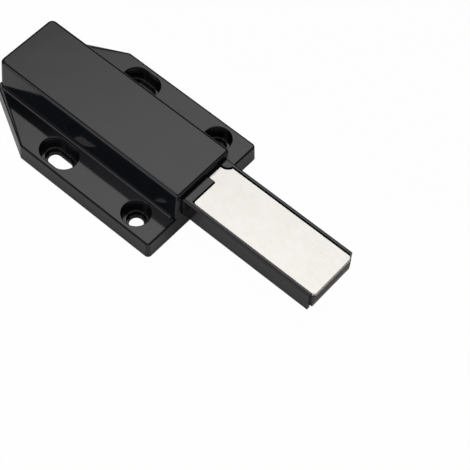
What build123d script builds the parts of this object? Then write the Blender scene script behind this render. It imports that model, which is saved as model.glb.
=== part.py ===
from build123d import *
import os
from math import asin, sin, cos, tan, radians, sqrt, pi

os.makedirs("parts", exist_ok=True)

# Push to open catch, in millimetres.
# Origin: middle of the front screw pair, on the mounting face.
# +X points out of the mouth along the tongue, +Z up from the mounting face.

# ---------------------------------------------------------------- housing
FX = 10.6            # front face, measured from the front screw line
LENGTH = 74.4        # front face to rear wall, at the roof
BOX_W = 23.1         # width of the raised box at the roof
BOX_H = 18.1         # height of the roof over the mounting face
SIDE_DRAFT = 4.8     # slope of the raised box's side walls, degrees
REAR_DRAFT = 1.0     # slope of its rear wall
DRAFT = 2.5          # mould draft of the other outer faces, degrees
FLANGE_T = 6.5       # flange thickness
FLANGE_W = 49.2      # overall width at the flange's upper face
CHAMFER_X = 21.3     # length of the slanted rear ends of the flanges
LEDGE = 0.4          # rear edge of the flange, proud of the box wall
HOLE_Y = 18.4        # screw rows
SLOT_X = -32.1       # middle of the rear slots
SLOT_HALF = 2.1      # half the distance between a slot's arc centres
SCREW_R = 2.3        # screw hole and half width of the slots
CBORE_R = 4.6        # counterbore for the screw head
CBORE_D = 3.5        # its depth
STEP_R = 2.95        # second step, a seat for the screw's shoulder
STEP_Z = 1.5         # its floor, over the mounting face
WALL_REAR = 2.4
WALL_FRONT = 2.5
ROOF_Z = 16.7        # underside of the roof
SILL_Z = 7.2         # lower edge of the mouth
CAV_HALF = 10.2      # half width of the channel

# ---------------------------------------------------------------- tongue
STROKE = 42.0        # full travel, from sprung out to fully pushed in
REACH = 48.6         # tray end, ahead of the front face
FACE_END = 49.6      # steel faces, ahead of the front face
REAR = -22.0         # rear end of the tray, from the front face
TRAY_NEAR = 9.9      # outer faces of the tray's side walls
TRAY_FAR = 10.0
TRAY_TOP = 15.6
TRAY_BOT = 7.5
WALL_NEAR = 8.65     # inner faces of the tray's side walls
WALL_FAR = 9.0
WEB_BOT = 8.7
WEB_TOP = 9.6
PLATE_Z = 14.0       # underside of the face plate
PLATE_T = 1.2
DECK_X = 2.9         # front edge of the deck behind the face plate
TAB_X = 0.5          # rear end of the face plate's tab
TAB_Y0 = 1.3
BOSS_X, BOSS_Y, BOSS_R = 1.1, 9.5, 2.4

# ---------------------------------------------------------------- springs
SPRING_Y = 6.3
SPRING_Z = 11.4
BORE_R = 2.25
SPRING_R = 1.77      # mean radius of the coils
WIRE = 0.55
SEAT_FRONT = 4.5     # end of the spring bore, from the front face
SEAT_REAR = -71.4    # collar of the guide pin, from the front face

# ---------------------------------------------------------------- cam
PIVOT_X = -34.0      # arm pivot, from the front face
ARM = 15.5
LANE = 2.2           # distance of each lane from the middle
PIN_R = 0.8
CAM_HALF = 3.85
TRACK_HALF = 3.25
REST_ANGLE = 8.16    # arm at rest in the near lane


def fx(v):
    # distance ahead of the front face, as a row coordinate
    return FX + v


def dome(a, h):
    # halfway point of a spherical cap of rim radius a and height h, as (radius, height over the rim)
    r = (a * a + h * h) / (2 * h)
    half = asin(a / r) / 2
    return r * sin(half), h - r + r * cos(half)


REAR_X = fx(-LENGTH)
grow = tan(radians(DRAFT))
side_grow = tan(radians(SIDE_DRAFT))
rear_grow = tan(radians(REAR_DRAFT))
base_half = BOX_W / 2 + BOX_H * side_grow       # half width of the box at z=0
mid_half = BOX_W / 2 + (BOX_H - FLANGE_T) * side_grow
base_rear = REAR_X - BOX_H * rear_grow
mid_rear = REAR_X - (BOX_H - FLANGE_T) * rear_grow
fl_grow = FLANGE_T * grow                       # how far the flange spreads at z=0
fl_rear = mid_rear - LEDGE
fl_half = FLANGE_W / 2
front_over = 4.0                                # drafted solids start ahead of the front face and are trimmed

# raised box, before it is joined to the flanges
with BuildPart() as raised_box:
    with BuildSketch(Plane.XY) as box_sk:
        with BuildLine():
            Polyline(
                (fx(front_over), base_half),
                (base_rear - 3, base_half),
                (base_rear - 3, -base_half),
                (fx(front_over), -base_half),
                close=True,
            )
        make_face()
    extrude(amount=BOX_H, taper=SIDE_DRAFT)
    # steeper rear wall
    with BuildSketch(Plane.XZ):
        with BuildLine():
            Polyline(
                (base_rear - rear_grow, -1), (REAR_X + 3 * rear_grow, BOX_H + 3),
                (REAR_X - 12, BOX_H + 3), (REAR_X - 12, -1), close=True,
            )
        make_face()
    extrude(amount=30, both=True, mode=Mode.SUBTRACT)
    # flat front face
    with BuildSketch(Plane.XY.offset(-1)):
        with Locations((fx(6), 0)):
            Rectangle(12, 80)
    extrude(amount=40, mode=Mode.SUBTRACT)
    upright = [e for e in raised_box.edges() if e.bounding_box().size.Z > BOX_H - 1]
    fillet([e for e in upright if e.center().X > fx(-5)], 1.25)
    upright = [e for e in raised_box.edges() if e.bounding_box().size.Z > BOX_H - 1]
    fillet([e for e in upright if e.center().X < fx(-60)], 1.9)
    roof_rim = raised_box.faces().sort_by(Axis.Z)[-1].edges()
    fillet(roof_rim, 1.0)

with BuildPart() as housing:
    # flanges: a plate with slanted rear ends, drafted edges and a softened upper rim
    with BuildSketch(Plane.XY.offset(FLANGE_T)) as fl_sk:
        with BuildLine():
            Polyline(
                (fx(0), fl_half),
                (fl_rear + CHAMFER_X + LEDGE, fl_half),
                (fl_rear, mid_half + LEDGE),
                (fl_rear, -mid_half - LEDGE),
                (fl_rear + CHAMFER_X + LEDGE, -fl_half),
                (fx(0), -fl_half),
                close=True,
            )
        make_face()
    extrude(amount=-FLANGE_T, taper=-DRAFT)
    upright = [e for e in housing.edges() if e.bounding_box().size.Z > FLANGE_T - 1]
    fillet([e for e in upright if e.center().X > fx(-3)], 1.4)
    upright = [e for e in housing.edges() if e.bounding_box().size.Z > FLANGE_T - 1]
    fillet([e for e in upright if -50 < e.center().X < fx(-40)], 1.2)
    top_rim = housing.faces().sort_by(Axis.Z)[-1].edges()
    fillet([e for e in top_rim if e.center().X > fl_rear + 2], 0.45)
    # lower rim, softened all round
    fillet(housing.faces().sort_by(Axis.Z)[0].edges(), 0.15)
    add(raised_box.part)
    # small inner radius where the side walls meet the flanges
    R_IN = 0.7
    in_y = mid_half - R_IN * sin(radians(SIDE_DRAFT))
    in_z = FLANGE_T + R_IN * cos(radians(SIDE_DRAFT))
    for side in (1, -1):
        with BuildSketch(Plane.YZ.offset(mid_rear + 1.4)):
            with BuildLine():
                Polyline(
                    (side * (mid_half + R_IN), FLANGE_T),
                    (side * (mid_half - 0.5), FLANGE_T),
                    (side * (mid_half - 0.5), in_z),
                    (side * in_y, in_z),
                )
                RadiusArc(
                    (side * in_y, in_z),
                    (side * (mid_half + R_IN), FLANGE_T),
                    side * R_IN * tan(radians(45 + SIDE_DRAFT / 2)),
                )
            make_face()
        extrude(amount=LENGTH - 2.8)

    # screw holes with counterbores, all from the flange's upper face
    with Locations(Plane.XY.offset(FLANGE_T)):
        with Locations((0, HOLE_Y), (0, -HOLE_Y)):
            CounterBoreHole(radius=SCREW_R, counter_bore_radius=CBORE_R, counter_bore_depth=CBORE_D, depth=20)
    with BuildSketch(Plane.XY.offset(-1)):
        with Locations((SLOT_X, HOLE_Y), (SLOT_X, -HOLE_Y)):
            SlotCenterToCenter(2 * SLOT_HALF, 2 * SCREW_R)
    extrude(amount=FLANGE_T + 2, mode=Mode.SUBTRACT)
    with BuildSketch(Plane.XY.offset(FLANGE_T - CBORE_D)):
        with Locations((SLOT_X, HOLE_Y), (SLOT_X, -HOLE_Y)):
            SlotCenterToCenter(2 * SLOT_HALF, 2 * CBORE_R)
    extrude(amount=CBORE_D + 1, mode=Mode.SUBTRACT)
    with BuildSketch(Plane.XY.offset(STEP_Z)):
        with Locations((SLOT_X, HOLE_Y), (SLOT_X, -HOLE_Y)):
            SlotCenterToCenter(2 * SLOT_HALF, 2 * STEP_R)
        with Locations((0, HOLE_Y), (0, -HOLE_Y)):
            Circle(STEP_R)
    extrude(amount=FLANGE_T, mode=Mode.SUBTRACT)

    # softened edges of the two steps in each screw hole
    def on_step(e, z, r):
        box = e.bounding_box()
        if abs(box.min.Z - z) > 0.01 or abs(box.max.Z - z) > 0.01:
            return False
        for v in e.vertices():
            dx = max(0, abs(v.X - SLOT_X) - SLOT_HALF)
            dy = abs(v.Y) - HOLE_Y
            if min(abs(sqrt(dx**2 + dy**2) - r), abs(sqrt(v.X**2 + dy**2) - r)) > 0.02:
                return False
        return True

    for z, r in ((FLANGE_T - CBORE_D, STEP_R), (STEP_Z, SCREW_R)):
        step_edges = [e for e in housing.edges() if on_step(e, z, r)]
        print("step edges", z, len(step_edges))
        fillet(step_edges, 0.2)

    # upper rim of the flanges, softened, with the rims of the counterbores
    top_fl = [
        f for f in housing.faces().filter_by(Axis.Z)
        if abs(f.center().Z - FLANGE_T) < 0.01
    ]
    rim = []
    for f in top_fl:
        for w in f.inner_wires():
            rim += list(w.edges())
    fillet(rim, 0.22)

    # channel for the tongue, open underneath, and the mouth
    with BuildSketch(Plane.XY.offset(-1)):
        with Locations((fx(-LENGTH + WALL_REAR + (LENGTH - WALL_REAR - WALL_FRONT) / 2), 0)):
            Rectangle(LENGTH - WALL_REAR - WALL_FRONT, 2 * CAV_HALF)
    extrude(amount=ROOF_Z + 1, mode=Mode.SUBTRACT)
    with BuildSketch(Plane.YZ.offset(fx(-WALL_FRONT - 1))):
        with Locations((0, (ROOF_Z + SILL_Z) / 2)):
            Rectangle(2 * CAV_HALF, ROOF_Z - SILL_Z)
    extrude(amount=WALL_FRONT + 3, mode=Mode.SUBTRACT)

    # rails under the roof that guide the tray
    with BuildSketch(Plane.XY.offset(15.9)):
        with Locations((fx(-38.0), 9.35), (fx(-38.0), -9.35)):
            Rectangle(67.0, 1.3)
    extrude(amount=ROOF_Z - 15.9 + 0.2)

    # rebate for the base cover
    with BuildSketch(Plane.XY.offset(-1)):
        with Locations((fx(-37.2), 0)):
            Rectangle(72.0, 22.0)
    extrude(amount=2.6, mode=Mode.SUBTRACT)

    # relief pockets under the flanges, either side of a rib
    with BuildSketch(Plane.XY.offset(-1)):
        with Locations((-10.55, 18.2), (-10.55, -18.2), (-19.95, 18.2), (-19.95, -18.2)):
            RectangleRounded(7.9, 8.6, 0.8)
    extrude(amount=1 + FLANGE_T - 2.0, mode=Mode.SUBTRACT)

    # screw bosses for the cover: two at the rear wall, one at the front wall
    with BuildSketch(Plane.XY.offset(1.6)):
        with Locations((fx(-69.2), 7.75), (fx(-69.2), -7.75)):
            Rectangle(6.4, 5.5)
        with Locations((fx(-4.8), 0)):
            Rectangle(5.4, 5.4)
    extrude(amount=SILL_Z - 1.6)
    with Locations(Plane.XY.offset(1.6)):
        with Locations((fx(-68.8), 7.4), (fx(-68.8), -7.4), (fx(-4.9), 0)):
            Cylinder(0.9, 5.2, align=(Align.CENTER, Align.CENTER, Align.MIN), mode=Mode.SUBTRACT)

    # blind holes in the rear wall for the guide pins and the buffer stem
    with BuildSketch(Plane.YZ.offset(fx(-73.6))):
        with Locations((SPRING_Y, SPRING_Z), (-SPRING_Y, SPRING_Z), (0, 11.6)):
            Circle(1.1)
    extrude(amount=3.0, mode=Mode.SUBTRACT)
housing.part.label = "housing"
export_step(housing.part, "parts/housing.step")
print("housing", housing.part.volume, len(housing.part.solids()))

# ---------------------------------------------------------------- base cover
COVER_SCREWS = [(fx(-68.8), 7.4), (fx(-68.8), -7.4), (fx(-4.9), 0)]
COVER_T = 1.5

with BuildPart() as base_cover:
    with BuildSketch(Plane.XY):
        with Locations((fx(-37.2), 0)):
            RectangleRounded(71.8, 21.8, 0.3)
    extrude(amount=COVER_T)
    # stiffening ribs along both sides
    with BuildSketch(Plane.XY.offset(COVER_T)):
        with Locations((fx(-36.5), 9.2), (fx(-36.5), -9.2)):
            Rectangle(53.0, 0.9)
    extrude(amount=1.1)
    # boss for the arm pivot
    with BuildSketch(Plane.XY.offset(COVER_T)):
        with Locations((fx(PIVOT_X), 0)):
            Circle(2.2)
    extrude(amount=2.9)
    # pivot hole, and the leaf spring's rivet hole
    with Locations((fx(PIVOT_X), 0, 0)):
        Cylinder(1.0, 20, mode=Mode.SUBTRACT)
    with Locations((fx(-10.5), 0, 0)):
        Cylinder(0.8, 20, mode=Mode.SUBTRACT)
    # countersunk screw holes, from below
    for sx, sy in COVER_SCREWS:
        with Locations(Plane(origin=(sx, sy, 0), z_dir=(0, 0, -1))):
            CounterSinkHole(radius=1.0, counter_sink_radius=1.95, depth=COVER_T + 1, counter_sink_angle=90)
    chamfer(base_cover.faces().sort_by(Axis.Z)[0].outer_wire().edges(), 0.2)
base_cover.part.label = "base_cover"
export_step(base_cover.part, "parts/base_cover.step")

with BuildPart() as cover_screws:
    for sx, sy in COVER_SCREWS:
        with BuildSketch(Plane(origin=(sx, sy, 0), x_dir=(1, 0, 0), z_dir=(0, -1, 0))):
            with BuildLine():
                Polyline((0, 0.08), (1.85, 0.08), (0.9, 1.03), (0.9, 5.6), (0.35, 6.5), (0, 6.5), close=True)
            make_face()
        revolve(axis=Axis((sx, sy, 0), (0, 0, 1)))
    # cross recesses
    with BuildSketch(Plane.XY):
        for sx, sy in COVER_SCREWS:
            with Locations((sx, sy)):
                Rectangle(2.1, 0.5)
                Rectangle(0.5, 2.1)
    extrude(amount=0.65, mode=Mode.SUBTRACT)
cover_screws.part.label = "cover_screws"
export_step(cover_screws.part, "parts/cover_screws.step")

# ---------------------------------------------------------------- tray
with BuildPart() as plunger_tray:
    with BuildSketch(Plane.XY.offset(TRAY_BOT)):
        with BuildLine():
            Polyline(
                (fx(REACH), -TRAY_NEAR), (fx(REACH), TRAY_FAR),
                (fx(REAR), TRAY_FAR), (fx(REAR), -TRAY_NEAR), close=True,
            )
        make_face()
    extrude(amount=TRAY_TOP - TRAY_BOT)
    # outer rims: broadly rounded on the near side, softened elsewhere
    long_edges = plunger_tray.edges().filter_by(Axis.X)
    fillet([e for e in long_edges if e.center().Z > 12 and e.center().Y < 0], 0.8)
    long_edges = plunger_tray.edges().filter_by(Axis.X)
    fillet([e for e in long_edges if e.center().Z > 12 and e.center().Y > 9.8], 0.5)
    long_edges = plunger_tray.edges().filter_by(Axis.X)
    fillet([e for e in long_edges if e.center().Z < TRAY_BOT + 0.1], 0.35)
    # seat of the face plate, between the side walls and ahead of the deck
    with BuildSketch(Plane.XY.offset(PLATE_Z)) as seat_sk:
        with BuildLine():
            l1 = Polyline(
                (fx(DECK_X), TAB_Y0 - 0.3), (fx(DECK_X), -WALL_NEAR), (fx(REACH + 2), -WALL_NEAR),
                (fx(REACH + 2), WALL_FAR), (fx(BOSS_X + sqrt(BOSS_R**2 - (BOSS_Y - WALL_FAR) ** 2)), WALL_FAR),
            )
            l2 = RadiusArc(l1 @ 1, (fx(BOSS_X), BOSS_Y - BOSS_R), BOSS_R)
            Polyline(
                l2 @ 1, (fx(TAB_X - 0.3), BOSS_Y - BOSS_R), (fx(TAB_X - 0.3), TAB_Y0 - 0.3), l1 @ 0,
            )
        make_face()
    extrude(amount=4, mode=Mode.SUBTRACT)
    # slot for the face plate's hook
    with BuildSketch(Plane.XY.offset(11.2)):
        with Locations((fx(TAB_X + 0.6), 2.65)):
            Rectangle(1.4, 2.3)
    extrude(amount=4, mode=Mode.SUBTRACT)
    # hollow underside between the side walls
    with BuildSketch(Plane.XY.offset(TRAY_BOT - 1)):
        with Locations((fx((REACH + 2 - 20) / 2), 0)):
            Rectangle(REACH + 2 + 20, 2 * WALL_NEAR)
    extrude(amount=WEB_BOT - TRAY_BOT + 1, mode=Mode.SUBTRACT)
    # bay for the magnet and the lower pole plate, open at the front
    with BuildSketch(Plane.XY.offset(WEB_TOP)):
        with Locations((fx(42.5), 0)):
            Rectangle(19, 2 * 8.6)
    extrude(amount=6, mode=Mode.SUBTRACT)
    # recess for the cam, from below
    with BuildSketch(Plane.XY.offset(TRAY_BOT - 1)):
        with Locations((fx(3.05), 0)):
            Rectangle(48.1, 2 * CAM_HALF + 0.1)
    extrude(amount=10.45 - TRAY_BOT + 1, mode=Mode.SUBTRACT)
    # pockets under the face plate that thin the section
    with BuildSketch(Plane.XY.offset(10.0)):
        with Locations((fx(19.25), 6.3), (fx(19.25), -6.3)):
            RectangleRounded(24.5, 4.3, 0.6)
    extrude(amount=6, mode=Mode.SUBTRACT)
    with BuildSketch(Plane.XY.offset(11.4)):
        with Locations((fx(19.25), 0)):
            RectangleRounded(24.5, 6.6, 0.6)
    extrude(amount=6, mode=Mode.SUBTRACT)
    # bores for the two return springs, from the rear
    with BuildSketch(Plane.YZ.offset(fx(REAR - 1))):
        with Locations((SPRING_Y, SPRING_Z), (-SPRING_Y, SPRING_Z)):
            Circle(BORE_R)
    extrude(amount=SEAT_FRONT - REAR + 1, mode=Mode.SUBTRACT)
    # stop lugs that meet the pads behind the front wall
    with BuildSketch(Plane.XY.offset(3.2)):
        with Locations((fx(-6.1), 7.9), (fx(-6.1), -7.9)):
            Rectangle(4.0, 3.2)
    extrude(amount=WEB_BOT - 3.2)
    # the web runs on, between the side walls, to the steel faces
    with BuildSketch(Plane.XY.offset(WEB_BOT)):
        with Locations((fx((REACH - 1 + FACE_END - 0.2) / 2), 0)):
            Rectangle(FACE_END - 0.2 - REACH + 1, 2 * WALL_NEAR - 0.1)
    extrude(amount=WEB_TOP - WEB_BOT)
plunger_tray.part.label = "plunger_tray"
export_step(plunger_tray.part, "parts/plunger_tray.step")

# ---------------------------------------------------------------- steel and magnet
PR = BOSS_R + 0.35   # the plate clears the deck's round shoulder by 0.35
PN = 8.5            # near and far edges of the face plate
PF = 8.75
with BuildPart() as face_plate:
    with BuildSketch(Plane.XY.offset(PLATE_Z)) as plate_sk:
        with BuildLine():
            p1 = Polyline(
                (fx(DECK_X + 0.3), TAB_Y0), (fx(DECK_X + 0.3), -PN), (fx(FACE_END), -PN),
                (fx(FACE_END), PF), (fx(BOSS_X + sqrt(PR**2 - (BOSS_Y - PF) ** 2)), PF),
            )
            p2 = RadiusArc(p1 @ 1, (fx(BOSS_X), BOSS_Y - PR), PR)
            Polyline(p2 @ 1, (fx(TAB_X), BOSS_Y - PR), (fx(TAB_X), TAB_Y0), p1 @ 0)
        make_face()
    extrude(amount=PLATE_T)
    upright = face_plate.edges().filter_by(Axis.Z)
    fillet([e for e in upright if e.center().X > fx(40)], 1.3)
    upright = face_plate.edges().filter_by(Axis.Z)
    fillet([e for e in upright if abs(e.center().Y + PN) < 0.01 and e.center().X < fx(5)], 0.8)
    upright = face_plate.edges().filter_by(Axis.Z)
    fillet([e for e in upright if abs(e.center().Y - TAB_Y0) < 0.01 and e.center().X > fx(2)], 0.5)
    upright = face_plate.edges().filter_by(Axis.Z)
    fillet([e for e in upright if abs(e.center().Y - TAB_Y0) < 0.01 and e.center().X < fx(2)], 0.3)
    # rolled-over upper rim left by the press tool
    fillet(face_plate.faces().sort_by(Axis.Z)[-1].outer_wire().edges(), 0.22)
    # hook bent down from the tab into the tray
    with BuildSketch(Plane.XY.offset(11.4)):
        with Locations((fx(TAB_X + 0.6), 2.65)):
            Rectangle(1.1, 2.1)
    extrude(amount=PLATE_Z + 0.3 - 11.4)
face_plate.part.label = "face_plate"
export_step(face_plate.part, "parts/face_plate.step")

with BuildPart() as lower_pole_plate:
    with BuildSketch(Plane.XY.offset(WEB_TOP)):
        with Locations((fx((33.4 + FACE_END - 0.1) / 2), 0)):
            Rectangle(FACE_END - 0.1 - 33.4, 2 * 8.55)
    extrude(amount=1.0)
    fillet([e for e in lower_pole_plate.edges().filter_by(Axis.Z) if e.center().X > fx(40)], 0.15)
lower_pole_plate.part.label = "lower_pole_plate"
export_step(lower_pole_plate.part, "parts/lower_pole_plate.step")

with BuildPart() as magnet:
    with BuildSketch(Plane.XY.offset(WEB_TOP + 1.0)):
        with Locations((fx((34.2 + FACE_END - 0.05) / 2), 0)):
            Rectangle(FACE_END - 0.05 - 34.2, 2 * 8.5)
    extrude(amount=PLATE_Z - WEB_TOP - 1.0)
    chamfer(magnet.edges().filter_by(Axis.Z), 0.1)
magnet.part.label = "magnet"
export_step(magnet.part, "parts/magnet.step")

# ---------------------------------------------------------------- heart cam and follower
TRACK_X0, TRACK_X1 = -20.1, 26.2
with BuildPart() as heart_cam:
    with BuildSketch(Plane.XY.offset(7.9)):
        with Locations((fx(3.05), 0)):
            RectangleRounded(47.9, 2 * CAM_HALF, 0.6)
    extrude(amount=2.5)
    # track, open underneath
    with BuildSketch(Plane.XY.offset(7.9)):
        with Locations((fx((TRACK_X0 + TRACK_X1) / 2), 0)):
            RectangleRounded(TRACK_X1 - TRACK_X0, 2 * TRACK_HALF, 0.9)
    extrude(amount=1.7, mode=Mode.SUBTRACT)
    # heart: the notch in its front end holds the pin when the tongue is latched
    with BuildSketch(Plane.XY.offset(7.9)):
        with BuildLine():
            Polyline(
                (fx(10.6), 0.0), (fx(13.2), -1.05), (fx(21.0), -1.05), (fx(21.5), -0.5), (fx(20.4), 0.1),
                (fx(20.9), 0.9), (fx(20.5), 1.05), (fx(13.2), 1.05), close=True,
            )
        make_face()
    extrude(amount=1.9)
    # wedge that turns the pin into the return lane
    with BuildSketch(Plane.XY.offset(7.9)):
        with BuildLine():
            Polyline((fx(24.7), 0.3), (fx(26.4), -0.9), (fx(26.4), 0.9), close=True)
        make_face()
    extrude(amount=1.9)
heart_cam.part.label = "heart_cam"
export_step(heart_cam.part, "parts/heart_cam.step")

ARM_Z0, ARM_Z1 = 4.65, 6.25
arm_dir = (cos(radians(REST_ANGLE)), -sin(radians(REST_ANGLE)))
PIN_X = fx(PIVOT_X) + ARM * arm_dir[0]
PIN_Y = ARM * arm_dir[1]
side_dir = (-arm_dir[1], arm_dir[0])
with BuildPart() as cam_follower:
    with BuildSketch(Plane.XY.offset(ARM_Z0)):
        with Locations((fx(PIVOT_X), 0)):
            Circle(2.6)
        with Locations((PIN_X, PIN_Y)):
            Circle(1.6)
        with BuildLine():
            Polyline(
                (fx(PIVOT_X) + 1.9 * side_dir[0], 1.9 * side_dir[1]),
                (fx(PIVOT_X) - 1.9 * side_dir[0], -1.9 * side_dir[1]),
                (PIN_X - 1.35 * side_dir[0], PIN_Y - 1.35 * side_dir[1]),
                (PIN_X + 1.35 * side_dir[0], PIN_Y + 1.35 * side_dir[1]),
                close=True,
            )
        make_face()
    extrude(amount=ARM_Z1 - ARM_Z0)
    with Locations((fx(PIVOT_X), 0, ARM_Z0)):
        Cylinder(1.05, 10, mode=Mode.SUBTRACT)
    with Locations((PIN_X, PIN_Y, ARM_Z0)):
        Cylinder(PIN_R, 10, mode=Mode.SUBTRACT)
cam_follower.part.label = "cam_follower"
export_step(cam_follower.part, "parts/cam_follower.step")

with BuildPart() as follower_pin:
    with BuildSketch(Plane.XY.offset(ARM_Z0)):
        with Locations((PIN_X, PIN_Y)):
            Circle(PIN_R)
    extrude(amount=9.2 - ARM_Z0)
    fillet(follower_pin.faces().sort_by(Axis.Z)[-1].edges(), 0.35)
follower_pin.part.label = "follower_pin"
export_step(follower_pin.part, "parts/follower_pin.step")

with BuildPart() as follower_pivot:
    with BuildSketch(Plane(origin=(fx(PIVOT_X), 0, 0), x_dir=(1, 0, 0), z_dir=(0, -1, 0))):
        with BuildLine():
            dr, dz = dome(1.9, 0.5)
            Polyline((0, 7.2), (0, 0.1), (1.0, 0.1), (1.0, 6.4), (1.9, 6.4), (1.9, 6.7))
            ThreePointArc((1.9, 6.7), (dr, 6.7 + dz), (0, 7.2))
        make_face()
    revolve(axis=Axis((fx(PIVOT_X), 0, 0), (0, 0, 1)))
follower_pivot.part.label = "follower_pivot"
export_step(follower_pivot.part, "parts/follower_pivot.step")

with BuildPart() as follower_spring:
    # bent strip: riveted foot, rising leg, and a lip that bears on the arm
    with BuildSketch(Plane.XZ):
        with BuildLine():
            Polyline(
                (fx(-8.6), 1.5), (fx(-8.6), 1.75), (fx(-12.6), 1.75), (fx(-21.6), 4.62), (fx(-23.4), 4.4),
                (fx(-23.4), 4.14), (fx(-21.7), 4.35), (fx(-12.7), 1.5), close=True,
            )
        make_face()
    extrude(amount=1.4, both=True)
    with Locations((fx(-10.5), 0, 1.6)):
        Cylinder(0.8, 2, mode=Mode.SUBTRACT)
follower_spring.part.label = "follower_spring"
export_step(follower_spring.part, "parts/follower_spring.step")

with BuildPart() as leaf_rivet:
    with BuildSketch(Plane(origin=(fx(-10.5), 0, 0), x_dir=(1, 0, 0), z_dir=(0, -1, 0))):
        with BuildLine():
            dr, dz = dome(1.5, 0.45)
            Polyline((0, 2.4), (0, 0.1), (0.8, 0.1), (0.8, 1.75), (1.5, 1.75), (1.5, 1.95))
            ThreePointArc((1.5, 1.95), (dr, 1.95 + dz), (0, 2.4))
        make_face()
    revolve(axis=Axis((fx(-10.5), 0, 0), (0, 0, 1)))
leaf_rivet.part.label = "leaf_rivet"
export_step(leaf_rivet.part, "parts/leaf_rivet.step")

# ---------------------------------------------------------------- return springs, guides and stops
TURNS = 24
FREE = SEAT_FRONT - 0.1 - SEAT_REAR - WIRE       # seat to seat, less one wire
for name, sy in (("near", -SPRING_Y), ("far", SPRING_Y)):
    with BuildPart() as spring:
        with BuildLine() as coil:
            Helix(
                pitch=FREE / TURNS, height=FREE, radius=SPRING_R,
                center=(fx(SEAT_REAR) + WIRE / 2, sy, SPRING_Z), direction=(1, 0, 0),
            )
        with BuildSketch(Plane(origin=coil.line @ 0, z_dir=coil.line % 0)):
            Circle(WIRE / 2)
        sweep(is_frenet=True)
    spring.part.label = "return_spring_" + name
    export_step(spring.part, "parts/return_spring_" + name + ".step")
    print(spring.part.label, spring.part.volume, pi * (WIRE / 2) ** 2 * sqrt((2 * pi * SPRING_R * TURNS) ** 2 + FREE**2))

    with BuildPart() as guide:
        with BuildSketch(Plane(origin=(0, sy, SPRING_Z), x_dir=(1, 0, 0), z_dir=(0, -1, 0))):
            with BuildLine():
                Polyline(
                    (fx(-73.6), 0), (fx(-73.6), 1.1), (fx(-72), 1.1), (fx(-72), 2.0), (fx(SEAT_REAR), 2.0),
                    (fx(SEAT_REAR), 1.1), (fx(-42.4), 1.1), (fx(-42), 0.7), (fx(-42), 0), close=True,
                )
            make_face()
        revolve(axis=Axis((0, sy, SPRING_Z), (1, 0, 0)))
    guide.part.label = "spring_guide_" + name
    export_step(guide.part, "parts/spring_guide_" + name + ".step")

with BuildPart() as rear_buffer:
    with BuildSketch(Plane(origin=(0, 0, 11.6), x_dir=(1, 0, 0), z_dir=(0, -1, 0))):
        with BuildLine():
            dr, dz = dome(2.6, 1.0)
            Polyline((fx(-64.3), 0), (fx(-73.6), 0), (fx(-73.6), 1.1), (fx(-72), 1.1), (fx(-72), 2.6), (fx(-65.3), 2.6))
            ThreePointArc((fx(-65.3), 2.6), (fx(-65.3) + dz, dr), (fx(-64.3), 0))
        make_face()
    revolve(axis=Axis((0, 0, 11.6), (1, 0, 0)))
rear_buffer.part.label = "rear_buffer"
export_step(rear_buffer.part, "parts/rear_buffer.step")

for name, sy in (("near", -7.8), ("far", 7.8)):
    with BuildPart() as pad:
        with BuildSketch(Plane.YZ.offset(fx(-4.0))):
            with Locations((sy, 5.2)):
                RectangleRounded(2.8, 3.2, 0.5)
        extrude(amount=1.5)
    pad.part.label = "stop_pad_" + name
    export_step(pad.part, "parts/stop_pad_" + name + ".step")
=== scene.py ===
import bpy
import math
from mathutils import Matrix, Vector


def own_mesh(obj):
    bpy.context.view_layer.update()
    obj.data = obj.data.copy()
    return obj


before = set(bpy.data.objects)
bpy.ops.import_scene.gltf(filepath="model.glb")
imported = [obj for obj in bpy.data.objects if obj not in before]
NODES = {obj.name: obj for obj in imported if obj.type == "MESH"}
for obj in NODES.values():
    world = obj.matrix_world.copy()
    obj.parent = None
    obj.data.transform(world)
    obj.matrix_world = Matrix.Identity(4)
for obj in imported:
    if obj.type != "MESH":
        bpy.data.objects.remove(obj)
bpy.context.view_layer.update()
scene = bpy.context.scene
for obj in NODES.values():
    obj.data.materials.clear()
for plain in list(bpy.data.materials):
    bpy.data.materials.remove(plain)

# ------------------------------------------------------------------ colour
scene.view_settings.view_transform = "Standard"
scene.view_settings.look = "None"
scene.view_settings.exposure = 0.0
scene.view_settings.gamma = 1.0

# ------------------------------------------------------------------ camera
AZ, EL, ROLL = math.radians(37.104), math.radians(58.42), math.radians(4.604)
AIM = Vector((0.02452, -0.00106, 0.0))
DIST = 0.45747
back = Vector((math.sin(AZ) * math.cos(EL), -math.cos(AZ) * math.cos(EL), math.sin(EL)))
right = Vector((0, 0, 1)).cross(back).normalized()
up = back.cross(right)
cam_x = right * math.cos(ROLL) + up * math.sin(ROLL)
cam_y = up * math.cos(ROLL) - right * math.sin(ROLL)
cam_data = bpy.data.cameras.new("camera")
cam_data.sensor_width = 36.0
cam_data.lens = 1512.92 / 470.0 * 36.0
cam_data.clip_start = 0.01
cam_data.clip_end = 50.0
cam = bpy.data.objects.new("camera", cam_data)
scene.collection.objects.link(cam)
rot = Matrix((cam_x, cam_y, back)).transposed().to_4x4()
cam.matrix_world = Matrix.Translation(AIM + back * DIST) @ rot
scene.camera = cam


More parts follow.
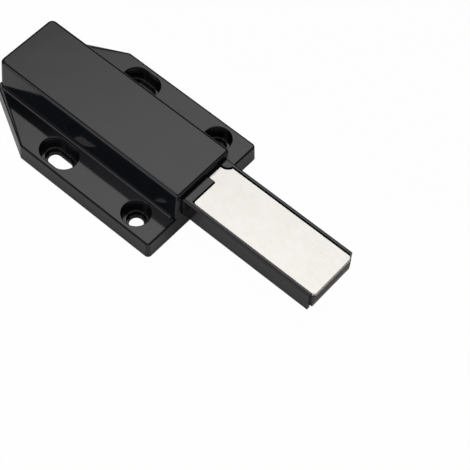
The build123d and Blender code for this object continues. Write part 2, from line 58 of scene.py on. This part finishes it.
# ------------------------------------------------------------------ node helpers
class Tree:
    """A few short calls for building a node tree."""

    def __init__(self, tree):
        self.t = tree
        self.t.nodes.clear()

    def add(self, kind, **values):
        n = self.t.nodes.new(kind)
        for k, v in values.items():
            setattr(n, k, v)
        return n

    def link(self, a, b):
        self.t.links.new(a, b)

    def put(self, node, socket, value):
        s = node.inputs[socket]
        if isinstance(value, bpy.types.NodeSocket):
            self.t.links.new(value, s)
        else:
            s.default_value = value

    def coords(self):
        if not hasattr(self, "_tc"):
            self._tc = self.add("ShaderNodeTexCoord")
        return self._tc.outputs["Object"]

    def mapping(self, scale, rotation=(0, 0, 0), location=(0, 0, 0)):
        m = self.add("ShaderNodeMapping")
        self.link(self.coords(), m.inputs["Vector"])
        m.inputs["Scale"].default_value = scale
        m.inputs["Rotation"].default_value = rotation
        m.inputs["Location"].default_value = location
        return m.outputs["Vector"]

    def noise(self, scale, detail=2.0, rough=0.5, vector=None, distortion=0.0):
        n = self.add("ShaderNodeTexNoise")
        self.put(n, "Vector", vector if vector is not None else self.coords())
        n.inputs["Scale"].default_value = scale
        n.inputs["Detail"].default_value = detail
        n.inputs["Roughness"].default_value = rough
        n.inputs["Distortion"].default_value = distortion
        return n.outputs["Fac"]

    def voronoi(self, scale, feature="F1", vector=None):
        n = self.add("ShaderNodeTexVoronoi", feature=feature)
        self.put(n, "Vector", vector if vector is not None else self.coords())
        n.inputs["Scale"].default_value = scale
        return n.outputs["Distance"]

    def ramp(self, fac, stops):
        n = self.add("ShaderNodeValToRGB")
        self.link(fac, n.inputs["Fac"])
        e = n.color_ramp.elements
        while len(e) > len(stops):
            e.remove(e[-1])
        while len(e) < len(stops):
            e.new(1.0)
        for i, (p, c) in enumerate(stops):
            e[i].position = p
            e[i].color = c if len(c) == 4 else (*c, 1)
        return n.outputs["Color"]

    def span(self, fac, a, b, lo=0.0, hi=1.0):
        n = self.add("ShaderNodeMapRange")
        self.link(fac, n.inputs["Value"])
        n.inputs["From Min"].default_value = lo
        n.inputs["From Max"].default_value = hi
        n.inputs["To Min"].default_value = a
        n.inputs["To Max"].default_value = b
        return n.outputs["Result"]

    def math(self, op, a, b=0.5, clamp=False):
        n = self.add("ShaderNodeMath", operation=op, use_clamp=clamp)
        self.put(n, 0, a)
        self.put(n, 1, b)
        return n.outputs[0]

    def bump(self, height, distance, strength=1.0, normal=None):
        n = self.add("ShaderNodeBump")
        self.link(height, n.inputs["Height"])
        n.inputs["Distance"].default_value = distance
        n.inputs["Strength"].default_value = strength
        if normal is not None:
            self.link(normal, n.inputs["Normal"])
        return n.outputs["Normal"]


def material(name):
    m = bpy.data.materials.new(name)
    m.use_nodes = True
    t = Tree(m.node_tree)
    out = t.add("ShaderNodeOutputMaterial")
    p = t.add("ShaderNodeBsdfPrincipled")
    t.link(p.outputs["BSDF"], out.inputs["Surface"])
    return m, t, p


def near_holes(t, radius):
    """1 inside the four screw seats of the housing, 0 outside; the rear seats are slots along X."""
    c = t.add("ShaderNodeSeparateXYZ")
    t.link(t.coords(), c.inputs[0])
    x, y, z = (c.outputs[k] for k in "XYZ")
    side = t.math("SUBTRACT", t.math("ABSOLUTE", y, 0), 0.0184)
    along = t.math("MAXIMUM", t.math("SUBTRACT", t.math("ABSOLUTE", t.math("ADD", x, 0.0321), 0), 0.0021), 0.0)
    rear = t.math("SQRT", t.math("ADD", t.math("MULTIPLY", side, side), t.math("MULTIPLY", along, along)), 0)
    front = t.math("SQRT", t.math("ADD", t.math("MULTIPLY", side, side), t.math("MULTIPLY", x, x)), 0)
    return t.math("LESS_THAN", t.math("MINIMUM", rear, front), radius), x, y, z


def screw_seats(t, normal):
    """Fine moulded rings round the walls of the screw seats."""
    inside, x, y, z = near_holes(t, 0.00478)
    deep = t.math("LESS_THAN", z, 0.0061)
    ring = t.math("SINE", t.math("MULTIPLY", z, 2 * math.pi / 0.00115), 0)
    return t.bump(t.math("MULTIPLY", t.math("MULTIPLY", inside, deep), ring), 0.000035, 1.0, normal)


def painted_dark_edges(t):
    """Painted shade: the specular level is cut on a thin band along the rounded rim of the flange plate and on the
    roof's front lip, so both show as dark lines.
    """
    c = t.add("ShaderNodeSeparateXYZ")
    t.link(t.coords(), c.inputs[0])
    x, y, z = (c.outputs[k] for k in "XYZ")
    tc = t.add("ShaderNodeTexCoord")
    nrm = t.add("ShaderNodeSeparateXYZ")
    t.link(tc.outputs["Normal"], nrm.inputs[0])
    ay = t.math("ABSOLUTE", y, 0)
    # distance inwards from the outer edges of the plate: the long sides, the front and the two chamfers
    edge = t.math("MINIMUM", t.math("SUBTRACT", 0.0246, ay), t.math("SUBTRACT", 0.0106, x))
    slant = t.math("SUBTRACT", t.math("MULTIPLY", t.math("ADD", x, 0.0425), 0.509), t.math("MULTIPLY", t.math("SUBTRACT", ay, 0.0246), 0.861))
    edge = t.math("MINIMUM", edge, slant)
    line = t.math("MULTIPLY", t.math("GREATER_THAN", edge, 0.00008), t.math("LESS_THAN", edge, 0.00062))
    plate = t.math("MULTIPLY", t.math("GREATER_THAN", z, 0.0058), t.math("LESS_THAN", z, 0.0066))
    turn = t.math("MULTIPLY", t.math("GREATER_THAN", nrm.outputs["Z"], 0.5), t.math("GREATER_THAN", ay, 0.0128))
    rim = t.math("MULTIPLY", t.math("MULTIPLY", line, plate), turn)
    lip = t.math("MULTIPLY", t.math("GREATER_THAN", x, 0.0100), t.math("GREATER_THAN", z, 0.0158))
    lip = t.math("MULTIPLY", lip, t.math("LESS_THAN", z, 0.01772))
    return t.span(t.math("MAXIMUM", rim, t.math("MULTIPLY", lip, 0.95)), 0.5, 0.10)


def gloss_black(name, tint, rough, texture=1.0, grain=0.0, housing=False):
    """Moulded black plastic: deep colour with a faint flow pattern, and a skin that is almost a mirror."""
    m, t, p = material(name)
    flow = t.noise(55, 3, 0.55, t.mapping((0.55, 1.6, 1.6)))
    t.put(p, "Base Color", t.ramp(flow, [
        (0.30, tuple(c * 0.88 for c in tint)),
        (0.70, tuple(c * 1.14 for c in tint)),
    ]))
    smudge = t.noise(140, 4, 0.6)
    fine = t.noise(2600, 2, 0.6)
    r = t.math("ADD", t.span(smudge, rough - 0.018, rough + 0.022, 0.3, 0.7), t.span(fine, -0.008, 0.008, 0.3, 0.7))
    t.put(p, "Roughness", r)
    wave = t.noise(95, 1, 0.4)
    peel = t.noise(1500, 2, 0.5)
    n = t.bump(wave, 0.00004 * texture)
    n = t.bump(peel, 0.0000012 * texture, 1.0, n)
    if grain:
        g = t.math("ADD", t.voronoi(5200, "SMOOTH_F1"), t.noise(3800, 3, 0.65))
        n = t.bump(g, grain, 1.0, n)
    if housing:
        n = screw_seats(t, n)
        # painted shade: dark lines on the flange rim and roof lip come from a cut specular level
        t.put(p, "Specular IOR Level", painted_dark_edges(t))
    t.put(p, "Normal", n)
    p.inputs["IOR"].default_value = 1.50
    return m


def steel(name, colour, rough, along=(1, 1, 1), scratch=0.0, mottle=0.03, relief=1.0, vary=1.0):
    """Plated or rolled steel: faint warm and cool patches, drawn lines and a soft satin sheen."""
    m, t, p = material(name)
    patch = t.noise(170, 3, 0.55)
    warm = tuple(min(1, c * k) for c, k in zip(colour, (1 + mottle, 1.0 + mottle * 0.55, 1 - mottle * 0.1)))
    cool = tuple(c * k for c, k in zip(colour, (1 - mottle, 1 - mottle * 0.4, 1 - mottle * 0.2)))
    t.put(p, "Base Color", t.ramp(patch, [(0.34, cool), (0.66, warm)]))
    lines = t.noise(900, 3, 0.6, t.mapping(along))
    r = t.math("ADD", t.span(lines, rough - 0.03 * vary, rough + 0.03 * vary, 0.3, 0.7), t.span(patch, -0.025 * vary, 0.025 * vary, 0.3, 0.7))
    t.put(p, "Roughness", r)
    p.inputs["Metallic"].default_value = 1.0
    n = t.bump(lines, 0.0000016 * relief)
    grit = t.noise(4200, 2, 0.6)
    n = t.bump(grit, 0.0000009 * relief, 1.0, n)
    if scratch:
        s = t.noise(420, 4, 0.7, t.mapping((along[1] * 0.6, along[0] * 2.5, 1), (0, 0, 0.5)))
        n = t.bump(t.span(s, 0.0, 1.0, 0.60, 0.68), scratch, 1.0, n)
    t.put(p, "Normal", n)
    return m


def matte(name, dark, light, rough, scale=2400, depth=0.000006, metal=0.0, soft=0.0):
    """Matte moulded, sintered or rubbery stuff."""
    m, t, p = material(name)
    a = t.noise(260, 3, 0.6)
    t.put(p, "Base Color", t.ramp(a, [(0.3, dark), (0.7, light)]))
    g = t.noise(scale, 3, 0.65)
    t.put(p, "Roughness", t.span(g, rough - 0.05, rough + 0.05, 0.3, 0.7))
    p.inputs["Metallic"].default_value = metal
    t.put(p, "Normal", t.bump(g, depth))
    if soft:
        p.inputs["Subsurface Weight"].default_value = soft
        p.inputs["Subsurface Radius"].default_value = (0.0012, 0.0010, 0.0008)
        p.inputs["Subsurface Scale"].default_value = 1.0
    return m


MATERIALS = {
    "housing": gloss_black("housing_black", (0.0073, 0.0080, 0.0110), 0.085, housing=True),
    "plunger_tray": gloss_black("tray_black", (0.0085, 0.0085, 0.0088), 0.16),
    "base_cover": gloss_black("cover_black", (0.0110, 0.0110, 0.0125), 0.34, 1.0, 0.000010),
    "face_plate": steel("plate_steel", (0.672, 0.650, 0.619), 0.30, (0.5, 2.2, 1.0), 0.0, 0.007, 0.14, 0.35),
    "lower_pole_plate": steel("pole_steel", (0.30, 0.285, 0.26), 0.36, (1.0, 1.0, 3.0)),
    "magnet": matte("magnet_ferrite", (0.055, 0.052, 0.048), (0.085, 0.080, 0.074), 0.52, 3000, 0.000010, 0.0),
    "leaf_rivet": steel("rivet_steel", (0.66, 0.65, 0.62), 0.26),
    "heart_cam": matte("acetal_natural", (0.70, 0.69, 0.64), (0.78, 0.77, 0.72), 0.36, 1800, 0.000003, 0.0, 0.25),
    "cam_follower": matte("acetal_grey", (0.27, 0.275, 0.28), (0.33, 0.335, 0.34), 0.38, 1800, 0.000003, 0.0, 0.1),
    "follower_pin": steel("pin_steel", (0.68, 0.68, 0.67), 0.20),
    "follower_spring": steel("spring_strip", (0.55, 0.535, 0.50), 0.28, (0.3, 3.0, 1.0)),
    "return_spring_near": steel("spring_wire", (0.60, 0.60, 0.60), 0.24, (1, 1, 1)),
    "rear_buffer": matte("rubber_black", (0.012, 0.012, 0.012), (0.020, 0.020, 0.020), 0.62, 2600, 0.000008),
    "cover_screws": steel("screw_zinc", (0.66, 0.665, 0.66), 0.27, (1, 1, 1)),
}
SAME = {
    "follower_pivot": "follower_pin",
    "return_spring_far": "return_spring_near",
    "spring_guide_near": "cam_follower",
    "spring_guide_far": "cam_follower",
    "stop_pad_near": "rear_buffer",
    "stop_pad_far": "rear_buffer",
}
for name, obj in NODES.items():
    m = MATERIALS[SAME.get(name, name)]
    obj.data.materials.append(m)

# ------------------------------------------------------------------ springs get their own mesh data
for n in ("return_spring_near", "return_spring_far"):
    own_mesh(NODES[n])

# ------------------------------------------------------------------ floor
bpy.ops.mesh.primitive_plane_add(size=12.0, location=(0, 0, -0.00002))
floor = bpy.context.object
floor.name = "floor"
fm = bpy.data.materials.new("floor_white")
fm.use_nodes = True
ft = Tree(fm.node_tree)
f_out = ft.add("ShaderNodeOutputMaterial")
f_dif = ft.add("ShaderNodeBsdfDiffuse")
f_em = ft.add("ShaderNodeEmission")
f_em.inputs["Color"].default_value = (1.0025, 1.0025, 1.0005, 1)
f_lp = ft.add("ShaderNodeLightPath")
f_mix = ft.add("ShaderNodeMixShader")
ft.link(ft.math("MULTIPLY", f_lp.outputs["Is Camera Ray"], 0.98), f_mix.inputs["Fac"])
f_xyz = ft.add("ShaderNodeSeparateXYZ")
ft.link(ft.coords(), f_xyz.inputs[0])
# painted shade: the floor's diffuse colour drops from 0.80 to 0.26 towards the far side, so the part's far sides
# reflect dark
f_painted_far_shade = ft.span(f_xyz.outputs["Y"], 0.80, 0.26, 0.020, 0.050)
ft.link(f_painted_far_shade, f_dif.inputs["Color"])
# painted light: the floor glows in patches beyond the near and far sides and behind the near rear, brightening what the
# part reflects there
f_painted_glow = ft.add("ShaderNodeEmission")
f_rear = ft.span(f_xyz.outputs["X"], 0.0, 1.0, -0.030, -0.075)
f_near = ft.span(f_xyz.outputs["Y"], 1.0, 0.0, -0.005, 0.015)
f_glow_sides = ft.math("MAXIMUM", ft.span(f_xyz.outputs["Y"], 0.09, 0.0, -0.018, -0.011), ft.span(f_xyz.outputs["Y"], 0.0, 0.13, 0.011, 0.019))
ft.link(ft.math("ADD", f_glow_sides, ft.math("MULTIPLY", ft.math("MULTIPLY", f_rear, f_near), 0.14)), f_painted_glow.inputs["Strength"])
f_sum = ft.add("ShaderNodeAddShader")
ft.link(f_dif.outputs["BSDF"], f_sum.inputs[0])
ft.link(f_painted_glow.outputs["Emission"], f_sum.inputs[1])
ft.link(f_sum.outputs["Shader"], f_mix.inputs[1])
ft.link(f_em.outputs["Emission"], f_mix.inputs[2])
f_clear = ft.add("ShaderNodeBsdfTransparent")
f_top = ft.add("ShaderNodeMixShader")
ft.link(ft.add("ShaderNodeNewGeometry").outputs["Backfacing"], f_top.inputs["Fac"])
ft.link(f_mix.outputs["Shader"], f_top.inputs[1])
ft.link(f_clear.outputs["BSDF"], f_top.inputs[2])
ft.link(f_top.outputs["Shader"], f_out.inputs["Surface"])
floor.data.materials.append(fm)

# ------------------------------------------------------------------ soft studio surroundings
AMBIENT, FAR_SHADE, SOFTBOX, STRIP, GLOW = 0.09, 0.05, 1.88, 1.55, 1.05
world = bpy.data.worlds.new("studio")
scene.world = world
world.use_nodes = True
w = Tree(world.node_tree)
w_out = w.add("ShaderNodeOutputWorld")
w_bg = w.add("ShaderNodeBackground")
w_tc = w.add("ShaderNodeTexCoord")


def lobe(direction, inner, outer, strength):
    """A soft round patch of light: full inside the inner angle, none past the outer angle."""
    d = Vector(direction).normalized()
    dot = w.add("ShaderNodeVectorMath", operation="DOT_PRODUCT")
    w.link(w_tc.outputs["Generated"], dot.inputs[0])
    dot.inputs[1].default_value = d
    r = w.add("ShaderNodeMapRange", interpolation_type="SMOOTHSTEP")
    w.link(dot.outputs["Value"], r.inputs["Value"])
    r.inputs["From Min"].default_value = math.cos(math.radians(outer))
    r.inputs["From Max"].default_value = math.cos(math.radians(inner))
    r.inputs["To Min"].default_value = 0.0
    r.inputs["To Max"].default_value = strength
    return r.outputs["Result"]


def step(value, lo, hi, a=0.0, b=1.0):
    """Smooth change from a to b while the value goes from lo to hi."""
    r = w.add("ShaderNodeMapRange", interpolation_type="SMOOTHSTEP")
    w.link(value, r.inputs["Value"])
    r.inputs["From Min"].default_value = lo
    r.inputs["From Max"].default_value = hi
    r.inputs["To Min"].default_value = a
    r.inputs["To Max"].default_value = b
    return r.outputs["Result"]


w_xyz = w.add("ShaderNodeSeparateXYZ")
w.link(w_tc.outputs["Generated"], w_xyz.inputs[0])
height = w_xyz.outputs["Z"]
# how far a direction points to the open front side of the set
toward = w.math("ADD", w.math("MULTIPLY", w_xyz.outputs["X"], 0.60), w.math("MULTIPLY", w_xyz.outputs["Y"], -0.80))
overhead = lobe((-0.264, 0.350, 0.899), 4, 22, SOFTBOX)
second = lobe((-0.316, -0.270, 0.910), 4, 9, STRIP)
glow = w.math("MULTIPLY", step(toward, 0.02, 0.34, 0.0, GLOW), step(height, 0.52, 0.76, 1.0, 0.0))
shade = w.math("MULTIPLY", step(toward, -0.45, -0.05, 1.0, 0.0), step(height, 0.55, 0.78, 1.0, 0.0))
ambient = w.math("SUBTRACT", AMBIENT, w.math("MULTIPLY", shade, AMBIENT - FAR_SHADE))
light = w.math("ADD", w.math("ADD", w.math("ADD", overhead, second), glow), ambient)
w_lp = w.add("ShaderNodeLightPath")
cam_mix = w.add("ShaderNodeMix", data_type="FLOAT")
w.link(w_lp.outputs["Is Camera Ray"], cam_mix.inputs["Factor"])
w.link(light, cam_mix.inputs["A"])
cam_mix.inputs["B"].default_value = 0.992
w.link(cam_mix.outputs["Result"], w_bg.inputs["Strength"])
w_bg.inputs["Color"].default_value = (1, 1, 1, 1)
w.link(w_bg.outputs["Background"], w_out.inputs["Surface"])
